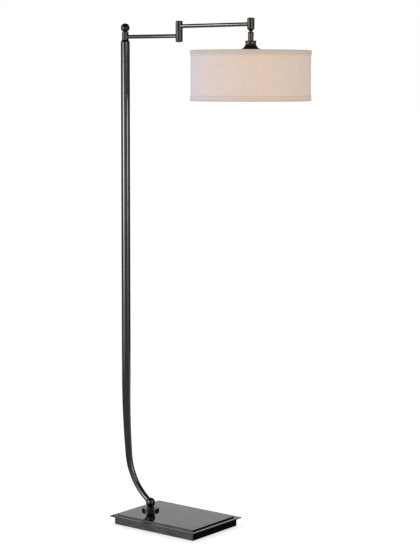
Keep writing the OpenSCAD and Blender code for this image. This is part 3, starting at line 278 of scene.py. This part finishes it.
finish = {slot_of(material): material for material in (
    dark_metal("panel_bronze", (0.085, 0.083, 0.084), worn=(0.2, 0.19, 0.18), roughness=0.09, spread=0.03,
               brush=(1, 0.12, 1), edge=0.7 * MM, grain=0.012, tint=0.85),
    dark_metal("plinth_bronze", (0.07, 0.069, 0.069), worn=(0.135, 0.127, 0.12), roughness=0.22, spread=0.05,
               brush=(0.35, 0.35, 1), edge=0.6 * MM, grain=0.04, streak=0.6),
    dark_metal("post_bronze", (0.082, 0.080, 0.080), worn=(0.15, 0.145, 0.14), roughness=0.11, spread=0.025,
               brush=(1, 1, 0.06), grain=0.008),
    dark_metal("turned_bronze", (0.068, 0.059, 0.051), worn=(0.138, 0.115, 0.096), roughness=0.13, spread=0.03,
               grain=0.008),
    dark_metal("canopy_bronze", (0.074, 0.059, 0.049), worn=(0.135, 0.108, 0.084), roughness=0.27, spread=0.05,
               tint=0.7),
    plain_metal("ballast_iron", (0.09, 0.088, 0.085), roughness=0.62, scale=700, spread=0.1),
    plain_metal("cover_steel", (0.12, 0.12, 0.12), roughness=0.45, scale=400, spread=0.08),
    plain_metal("zinc_steel", (0.56, 0.56, 0.53), roughness=0.32, scale=600),
    plain_solid("bush_nylon", (0.022, 0.021, 0.02), roughness=0.4),
    plain_metal("socket_brass", (0.66, 0.5, 0.24), roughness=0.26, scale=500),
    felt_cloth("felt", (0.016, 0.016, 0.018)),
    plain_solid("bushing_black", (0.02, 0.02, 0.021), roughness=0.5),
    plain_solid("lead_jacket", (0.018, 0.018, 0.019), roughness=0.45),
    plain_solid("liner_board", (0.42, 0.31, 0.19), roughness=0.9, scale=900, grain=0.3, shade=0.7),
    plain_solid("ring_plastic", (0.8, 0.79, 0.75), roughness=0.35),
    plain_solid("frame_wire", (0.72, 0.72, 0.7), roughness=0.4, scale=200, grain=0.04, shade=0.9, coat=0.3),
    linen("linen", *LINEN),
    linen("linen_trim", *LINEN_SHADED),
    frosted_glass("bulb_glass"),
    plain_metal("bulb_cap", (0.7, 0.7, 0.68), roughness=0.25, scale=400),
    plain_solid("knob_black", (0.012, 0.012, 0.012), roughness=0.28, grain=0.03, shade=0.8, coat=0.3),
)}
# The turned bronze made darker for the top ball: painted shade
ball_bronze_shaded = dark_metal("ball_bronze_shaded", (0.052, 0.043, 0.037), worn=(0.1, 0.083, 0.068), roughness=0.13,
                         spread=0.03, grain=0.008, tint=0.7)
liner_white = plain_solid("liner_white", (0.8, 0.78, 0.73), roughness=0.42, scale=60, grain=0.02, shade=0.96)

for node in nodes.values():
    for held in node.material_slots:
        held.material = finish[slot_of(held.material)]
nodes["top_ball"].material_slots[0].material = ball_bronze_shaded


# Pieces

def add_piece(name, mesh, body):
    mesh.update()
    made = add_object(name, mesh)
    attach(made, body)
    return made


def mesh_piece(name, points, faces, body, slot, uvs=None, material=None):
    """A smooth-shaded piece; uvs holds a pair for each corner of each face."""
    mesh = bpy.data.meshes.new(name)
    mesh.from_pydata(points, [], faces)
    mesh.polygons.foreach_set("use_smooth", [True] * len(faces))
    if uvs is not None:
        layer = mesh.uv_layers.new(name="UVMap")
        layer.data.foreach_set("uv", [c for face in uvs for uv in face for c in uv])
    mesh.materials.append(material or finish[slot])
    return add_piece(name, mesh, body)


SAME_POINT = 1e-6
SHARP_FROM = 0.6    # radians between two faces


def smooth_copy(node, body, slot):
    """The node's own shape with its facets shaded round."""
    work = bmesh.new()
    work.from_mesh(nodes[node].data)
    bmesh.ops.remove_doubles(work, verts=work.verts, dist=SAME_POINT)
    mesh = bpy.data.meshes.new(node + "_smooth")
    work.to_mesh(mesh)
    work.free()
    while mesh.attributes.get("custom_normal"):
        mesh.attributes.remove(mesh.attributes["custom_normal"])
    mesh.polygons.foreach_set("use_smooth", [True] * len(mesh.polygons))
    mesh.set_sharp_from_angle(angle=SHARP_FROM)
    mesh.materials.clear()
    mesh.materials.append(finish[slot])
    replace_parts(add_piece(node + "_smooth", mesh, body), node)


smooth_copy("post_lower", "stand", "post_bronze")
smooth_copy("post_lead", "stand", "lead_jacket")
smooth_copy("lower_arm_lead", "lower_arm", "lead_jacket")
smooth_copy("upper_arm_lead", "upper_arm", "lead_jacket")


# Shade: linen laminated on a white liner, and a folded band over each edge

drum_low, drum_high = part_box("shade_drum")
AXIS_X, AXIS_Y = (drum_low.x + drum_high.x) / 2, (drum_low.y + drum_high.y) / 2
DRUM_R = (drum_high.x - drum_low.x) / 2
DRUM_T = 1.2 * MM
CLOTH_T = 0.6 * MM
CLOTH_ROWS = 22
TURNS = 320    # of the cloth and the bands
LINER_ROWS = 8
LINER_TURNS = 192
LINER_GAP = 0.03 * MM
SEAM_AT = math.radians(130)
SEAM_W = 12 * MM
SEAM_RISE = 0.42 * MM
SEAM_SLOPE = 0.8 * MM
CLOTH_UNEVEN = 0.12 * MM
CLOTH_MOST = 0.9 * MM    # the cloth stands no farther out than this


def ring_piece(name, profile, turns, slot, seam, wander=None, material=None):
    """Turns a closed profile of (radius, height) about the drum's axis, from the angle seam on.
    wander(angle, index) gives each point's own (radius, height) offset; the UV map is in metres."""
    count = len(profile)
    lengths = [0.0]
    for k in range(count):
        lengths.append(lengths[-1] + math.dist(profile[k], profile[(k + 1) % count]))
    points, faces, uvs = [], [], []
    for i in range(turns):
        a = seam + 2 * math.pi * i / turns
        for k, (r, z) in enumerate(profile):
            dr, dz = wander(a - seam, k) if wander else (0.0, 0.0)
            points.append((AXIS_X + (r + dr) * math.cos(a), AXIS_Y + (r + dr) * math.sin(a), z + dz))
    step = 2 * math.pi * max(r for r, z in profile) / turns
    for i in range(turns):
        j = (i + 1) % turns
        u, v = i * step, (i + 1) * step
        for k in range(count):
            m = (k + 1) % count
            faces.append((i * count + k, j * count + k, j * count + m, i * count + m))
            uvs.append(((u, lengths[k]), (v, lengths[k]), (v, lengths[k + 1]), (u, lengths[k + 1])))
    return mesh_piece(name, points, faces, "shade_head", slot, uvs, material)


def wall_profile(outer, inner, rows):
    """Closed profile of the drum's wall or a layer of it: up its outer face and down its inner one."""
    low, high = drum_low.z, drum_high.z
    up = [(outer, low + (high - low) * k / rows) for k in range(rows + 1)]
    down = [(inner, high - (high - low) * k / rows) for k in range(rows + 1)]
    return up + down


cloth_profile = wall_profile(DRUM_R, DRUM_R - CLOTH_T, CLOTH_ROWS)


def cloth_wander(a, k):
    """The cloth isn't quite round, and it is doubled where its ends lap."""
    z = cloth_profile[k][1]
    out = CLOTH_UNEVEN * noise.noise(Vector((7 * math.cos(a), 7 * math.sin(a), 18 * z)))
    lap = a * DRUM_R
    if k <= CLOTH_ROWS and lap < SEAM_W:
        out += SEAM_RISE * min(1.0, lap / SEAM_SLOPE, (SEAM_W - lap) / SEAM_SLOPE)
    return min(out, CLOTH_MOST), 0.0


cloth = ring_piece("shade_linen", cloth_profile, TURNS, "linen", SEAM_AT, cloth_wander)
liner = ring_piece("shade_liner", wall_profile(DRUM_R - CLOTH_T - LINER_GAP, DRUM_R - DRUM_T, LINER_ROWS),
                   LINER_TURNS, "linen", SEAM_AT, None, liner_white)
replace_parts(cloth, "shade_drum")
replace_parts(liner, "shade_drum")

TRIM_H = 17 * MM
TRIM_T = 1.05 * MM      # two layers of cloth
TRIM_BOW = 0.75 * MM    # swelling halfway up the band
HEM_T = TRIM_T + 0.25 * MM    # three layers, where the outer hem is turned under
INSIDE_H = 6 * MM       # the band's height inside the drum
INSIDE_T = 0.8 * MM
TURN_R = 1.3 * MM       # rounding where the band turns over the edge
TRIM_SEAM_AT = SEAM_AT + 0.03    # just past the cloth's seam
TRIM_UNEVEN = 0.08 * MM
TRIM_MOST = 0.05 * MM
HEM_FROM = 12 * MM      # height on the band from which a point goes with the hem
HEM_MOST = 0.04 * MM
HEM_WAVER = 0.3 * MM
SKIN = 0.02 * MM        # room left at the lowest or highest face


def trim_profile(edge, up, crisp):
    """Band from its inner hem, over the drum's edge at height edge, to its outer hem; up is 1 or -1.
    A crisp hem ends in a fold that stands proud, and a soft one thins out."""
    outer = DRUM_R + 0.05 * MM
    bore = DRUM_R - DRUM_T
    path = [(bore - 0.04 * MM, INSIDE_H), (bore - 0.04 * MM, INSIDE_T), (outer, INSIDE_T)]
    if crisp:
        path += [(outer, TRIM_H - 0.5 * MM), (outer + 0.3 * MM, TRIM_H), (outer + 0.9 * MM, TRIM_H),
                 (outer + HEM_T, TRIM_H - 0.45 * MM), (outer + HEM_T, TRIM_H - 2.6 * MM),
                 (outer + TRIM_T + 0.05 * MM, TRIM_H - 3.4 * MM)]
    else:
        path += [(outer, TRIM_H - 0.3 * MM), (outer + 0.12 * MM, TRIM_H), (outer + 0.3 * MM, TRIM_H - 0.2 * MM),
                 (outer + 0.55 * MM, TRIM_H - 1.2 * MM), (outer + 0.8 * MM, TRIM_H - 2.6 * MM),
                 (outer + TRIM_T, TRIM_H - 4.4 * MM)]
    for h in (12, 10, 8, 6, 4, 2.4):    # heights in mm
        bow = TRIM_BOW * math.sin(math.pi * h / 14)
        path.append((outer + TRIM_T + bow, h * MM))
    for k in range(5):
        a = math.radians(22.5 * k)
        path.append((outer + TRIM_T - TURN_R * (1 - math.cos(a)), TURN_R * (1 - math.sin(a)) + SKIN))
    path += [(bore, SKIN), (bore - 0.5 * MM, 0.2 * MM), (bore - INSIDE_T, 0.7 * MM),
             (bore - INSIDE_T, INSIDE_H - 0.4 * MM), (bore - 0.5 * MM, INSIDE_H)]
    return [(r, edge + up * z) for r, z in path]


def trim(name, node, edge, up, seed, material):
    """A folded band; the bottom one's hem is crisp, and the top one's is soft."""
    profile = trim_profile(edge, up, up > 0)
    if up < 0:
        profile.reverse()

    def wander(a, k):
        """The band is slightly uneven, and its outer hem wavers up and down."""
        height = abs(profile[k][1] - edge)
        c, s = 9 * math.cos(a), 9 * math.sin(a)
        out = TRIM_UNEVEN * noise.noise(Vector((c, s, seed)))
        if height > HEM_FROM:
            return min(out, HEM_MOST), up * HEM_WAVER * min(0.0, noise.noise(Vector((2 * c, 2 * s, seed + 5))))
        return min(out, TRIM_MOST) if profile[k][0] > DRUM_R else 0.0, 0.0

    made = ring_piece(name, profile, TURNS, "linen_trim", TRIM_SEAM_AT, wander, material)
    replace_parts(made, node)
    return made


TOP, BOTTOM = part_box("shade_top_trim")[1].z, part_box("shade_bottom_trim")[0].z
# Painted shade: the top band grows darker towards the top edge
TOP_SHADE_FADES = [(TOP - 16 * MM, TOP - 1 * MM, 1.0, 0.7)]
# Painted shade: the bottom band darker at its bottom edge and in a line under its hem
BOTTOM_SHADE_FADES = [(BOTTOM, BOTTOM + 5 * MM, 0.93, 1.0), (BOTTOM + 13.6 * MM, BOTTOM + 16 * MM, 1.0, 0.88)]
top_trim = trim("shade_top_band", "shade_top_trim", TOP, -1, 1.0,
                linen("linen_band_top", *LINEN, TOP_SHADE_FADES))
bottom_trim = trim("shade_bottom_band", "shade_bottom_trim", BOTTOM, 1, 20.0,
                   linen("linen_band_bottom", *LINEN_SHADED, BOTTOM_SHADE_FADES))


# Felt under the base: soft edges and a slightly uneven face

felt_low, felt_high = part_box("base_felt")
FELT_ROWS, FELT_COLUMNS = 28, 40
FELT_LOWER_R = 0.35 * MM
FELT_UPPER_R = 0.3 * MM
FELT_UNEVEN = 0.08 * MM


def felt_mesh():
    """Points and faces of the pad: an uneven underside, two rims and a flat top."""
    points, faces = [], []

    def layer(z, inset, uneven):
        """Adds a grid of points and returns the number of its first one."""
        first = len(points)
        for i in range(FELT_ROWS + 1):
            for j in range(FELT_COLUMNS + 1):
                x = felt_low.x + inset + (felt_high.x - felt_low.x - 2 * inset) * j / FELT_COLUMNS
                y = felt_low.y + inset + (felt_high.y - felt_low.y - 2 * inset) * i / FELT_ROWS
                lift = uneven * (0.5 + noise.noise(Vector((x * 40, y * 40, 3.0))))
                points.append((x, y, z + max(0.0, lift)))
        return first

    def at(first, i, j):
        return first + i * (FELT_COLUMNS + 1) + j

    top = felt_high.z - SKIN
    bottom = layer(felt_low.z, FELT_LOWER_R, FELT_UNEVEN)
    lower_rim = layer(felt_low.z + FELT_LOWER_R, 0.0, 0.0)
    upper_rim = layer(top - FELT_UPPER_R, 0.0, 0.0)
    upper = layer(top, FELT_UPPER_R, 0.0)
    for i in range(FELT_ROWS):
        for j in range(FELT_COLUMNS):
            faces.append((at(bottom, i, j), at(bottom, i + 1, j), at(bottom, i + 1, j + 1), at(bottom, i, j + 1)))
            faces.append((at(upper, i, j), at(upper, i, j + 1), at(upper, i + 1, j + 1), at(upper, i + 1, j)))
    edge = [(0, j) for j in range(FELT_COLUMNS)] + [(i, FELT_COLUMNS) for i in range(FELT_ROWS)]
    edge += [(FELT_ROWS, j) for j in range(FELT_COLUMNS, 0, -1)] + [(i, 0) for i in range(FELT_ROWS, 0, -1)]
    for low, high in ((bottom, lower_rim), (lower_rim, upper_rim), (upper_rim, upper)):
        for k, (i, j) in enumerate(edge):
            m, n = edge[(k + 1) % len(edge)]
            faces.append((at(low, i, j), at(low, m, n), at(high, m, n), at(high, i, j)))
    used = sorted({v for face in faces for v in face})
    index = {v: k for k, v in enumerate(used)}
    return [points[v] for v in used], [tuple(index[v] for v in face) for face in faces]


felt = mesh_piece("felt_pad", *felt_mesh(), "stand", "felt")
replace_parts(felt, "base_felt")


# Floor, world and lamps

FLOOR_GREY = 0.42
FLOOR_GLOW = 0.6
FLOOR_HALF = 60
AMBIENT = 1.1


def seen_rays(tree):
    """1 for rays from the camera, metal and glass, and 0 for rays that carry light."""
    path = tree.nodes.new("ShaderNodeLightPath")
    total = path.outputs["Is Camera Ray"]
    for name in ("Is Glossy Ray", "Is Transmission Ray"):
        add = tree.nodes.new("ShaderNodeMath")
        add.operation = "ADD"
        add.use_clamp = True
        tree.links.new(total, add.inputs[0])
        tree.links.new(path.outputs[name], add.inputs[1])
        total = add.outputs[0]
    return total


def bare_material(name):
    """A material without its Principled shader, its node tree and its output's socket."""
    made = bpy.data.materials.new(name)
    made.use_nodes = True
    made.node_tree.nodes.remove(made.node_tree.nodes["Principled BSDF"])
    return made, made.node_tree, made.node_tree.nodes["Material Output"].inputs["Surface"]


def white_floor():
    """Grey that takes the object's shadow, with white added for the rays that see it."""
    made, tree, surface = bare_material("floor")
    matt = tree.nodes.new("ShaderNodeBsdfDiffuse")
    matt.inputs["Color"].default_value = (FLOOR_GREY, FLOOR_GREY, FLOOR_GREY, 1)
    scale = tree.nodes.new("ShaderNodeMath")
    scale.operation = "MULTIPLY"
    scale.inputs[1].default_value = FLOOR_GLOW
    glow = tree.nodes.new("ShaderNodeEmission")
    both = tree.nodes.new("ShaderNodeAddShader")
    tree.links.new(seen_rays(tree), scale.inputs[0])
    tree.links.new(scale.outputs[0], glow.inputs["Strength"])
    tree.links.new(matt.outputs[0], both.inputs[0])
    tree.links.new(glow.outputs[0], both.inputs[1])
    tree.links.new(both.outputs[0], surface)
    return made


floor = bpy.data.meshes.new("floor")
floor.from_pydata([(FLOOR_HALF * x, FLOOR_HALF * y, 0) for x, y in ((-1, -1), (1, -1), (1, 1), (-1, 1))],
                  [], [(0, 1, 2, 3)])
floor.materials.append(white_floor())
add_object("floor", floor)

world = bpy.data.worlds.new("studio")
bpy.context.scene.world = world
world.use_nodes = True
tree = world.node_tree
background = tree.nodes["Background"]
background.inputs["Color"].default_value = (1, 1, 1, 1)
level = tree.nodes.new("ShaderNodeMapRange")
level.inputs["To Min"].default_value = AMBIENT
level.inputs["To Max"].default_value = 1.0
tree.links.new(seen_rays(tree), level.inputs["Value"])
tree.links.new(level.outputs[0], background.inputs["Strength"])

POST_AT = Vector((-0.2146, 0.0, 0.0))


def towards(left):
    """Level direction from the post, in degrees to the left of the direction to the camera."""
    a = math.radians(CAMERA_YAW - left)
    return Vector((math.sin(a), -math.cos(a), 0.0))


def soft_box(name, left, distance, z, width, height, watts, colour):
    """An area lamp that faces the post and isn't seen itself."""
    lamp = bpy.data.lights.new(name, "AREA")
    lamp.shape = "RECTANGLE"
    lamp.size, lamp.size_y = width, height
    lamp.energy = watts
    lamp.color = colour
    made = add_object(name, lamp)
    made.location = POST_AT + distance * towards(left) + Vector((0, 0, z))
    made.rotation_euler = (-towards(left)).to_track_quat("-Z", "Y").to_euler()
    made.visible_camera = False
    made.visible_glossy = False
    made.visible_transmission = False


soft_box("key", left=80, distance=2.4, z=1.25, width=1.0, height=1.3, watts=27, colour=(0.14, 0.38, 1.0))
soft_box("front", left=-4, distance=3.6, z=1.5, width=1.4, height=1.4, watts=19.5, colour=(1.0, 0.8, 0.6))


# Cards that only metal sees: bright ones stand for the soft boxes, and dark ones give the tubes
# their dark edges, as in the photograph

def card(name, corners, levels):
    """A card of four corners, or a strip of several pairs of them, with a level of light for each pair."""
    mesh = bpy.data.meshes.new(name)
    pairs = len(corners) // 2
    mesh.from_pydata(corners, [], [(2 * k, 2 * k + 1, 2 * k + 3, 2 * k + 2) for k in range(pairs - 1)])
    glow = mesh.attributes.new("level", "FLOAT", "POINT")
    glow.data.foreach_set("value", [level for level in levels for _ in (0, 1)])
    paint, tree, surface = bare_material(name)
    level = tree.nodes.new("ShaderNodeAttribute")
    level.attribute_name = "level"
    emission = tree.nodes.new("ShaderNodeEmission")
    tree.links.new(level.outputs["Fac"], emission.inputs["Strength"])
    tree.links.new(emission.outputs[0], surface)
    mesh.materials.append(paint)
    made = add_object(name, mesh)
    for seen in ("camera", "diffuse", "transmission", "volume_scatter", "shadow"):
        setattr(made, "visible_" + seen, False)


def wall(name, left_a, left_b, distance, levels):
    """An upright card between two directions, with pairs of height and level."""
    sides = [POST_AT + distance * towards(left) for left in (left_a, left_b)]
    card(name, [(p.x, p.y, z) for z, level in levels for p in sides], [level for z, level in levels])


def mat(name, corners, level, z):
    """A card that lies flat; corners run round it."""
    a, b, c, d = corners
    card(name, [(x, y, z) for x, y in (a, b, d, c)], [level, level])


def sector(near, far, left_a, left_b):
    """Corners of a flat card between two distances from the post and two directions."""
    return [(POST_AT + distance * towards(left)).to_2d()
            for distance, left in ((near, left_a), (far, left_a), (far, left_b), (near, left_b))]


def rectangle(x_low, y_low, x_high, y_high):
    return [(x_low, y_low), (x_high, y_low), (x_high, y_high), (x_low, y_high)]


DARK = 0.12
ROOM = 3.2    # the dark cards stand this far from the post and reach this high
FLAG = [(0, DARK), (1.72, DARK), (1.86, 0.8), (2.6, 0.8), (2.75, DARK), (ROOM, DARK)]
wall("flag_right_a", -60, -90, ROOM, [(0, 0.35), (ROOM, 0.35)])
wall("flag_right_b", -90, -128, ROOM, FLAG)
wall("flag_right_c", -128, -166, ROOM, FLAG)
wall("flag_left", 94, 135, ROOM, FLAG)
wall("flag_left_b", 135, 176, ROOM, FLAG)
wall("flag_back", 176, 194, ROOM, [(1.08, DARK)] + FLAG[1:])
wall("flag_front", 36, -46, 3.4, [(0, 0.35), (0.6, 0.5), (1.0, 0.66), (1.4, 0.55), (1.7, 0.3), (ROOM, 0.25)])
wall("glow_left", 37, 65, 2.5, [(0.05, 1.5), (0.3, 2.0), (0.45, 3.3), (0.55, 4.9), (0.7, 6.4), (0.95, 8.1),
                                (1.16, 9.7), (1.4, 8.1), (1.56, 5.0), (1.64, 3.4), (1.7, 1.5), (2.2, 0.9),
                                (ROOM, 0.4)])
wall("glow_left_side", 65, 78, 2.6, [(1.2, 1.0), (1.5, 1.7), (2.7, 1.7), (3.0, 0.3)])
wall("glow_arm", 78, 87, 2.6, [(1.6, 0.8), (1.7, 3.0), (1.8, 13.0), (2.6, 13.0), (2.75, 0.5)])
wall("glow_left_back", 82, 94, 5.0, [(0.2, 0.6), (4.2, 0.6)])
mat("glow_edge", sector(4.6, 6.8, 68, 81), 4.0, 1.5)
wall("glow_right", -42, -66, 2.6, [(0.05, 0.5), (0.3, 0.9), (0.5, 1.7), (0.7, 2.3), (0.9, 3.6), (1.1, 5.4),
                                   (1.3, 4.8), (1.4, 3.2), (1.5, 1.9), (1.6, 1.0)])
wall("glow_right_top", -20, -44, 2.6, [(1.5, 1.0), (1.6, 2.8), (2.2, 2.8)])
mat("flag_top", rectangle(-ROOM, -ROOM, ROOM, ROOM), DARK, ROOM)

# Flat cards just over the floor, which only metal sees: painted reflections of a darker floor. Each is a little
# higher than the one it overlaps

FLOOR_CARD = 0.4 * MM
FLOOR_REACH = 3.3
left, right = POST_AT + FLOOR_REACH * towards(93), POST_AT + FLOOR_REACH * towards(-87)
ahead = FLOOR_REACH * towards(3)
mat("flag_floor", [p.to_2d() for p in (left, left + ahead, right + ahead, right)], 0.38, FLOOR_CARD)
mat("flag_floor_back", sector(0.5, ROOM, 93, 174), 0.25, FLOOR_CARD)
plate_low, plate_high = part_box("base_plate")
PLATE_OVERHANG = 12 * MM
corner_x = plate_high.x - PLATE_OVERHANG    # the plinth's corner, where the two cards meet
mat("flag_floor_left", rectangle(plate_low.x - 0.3, -0.6, corner_x, plate_low.y + 0.1), 0.8, 1.5 * FLOOR_CARD)
mat("flag_floor_right", rectangle(corner_x, -0.4, plate_high.x + 0.6, 0.5), 0.03, 2 * FLOOR_CARD)

bpy.context.scene.view_settings.view_transform = "Standard"
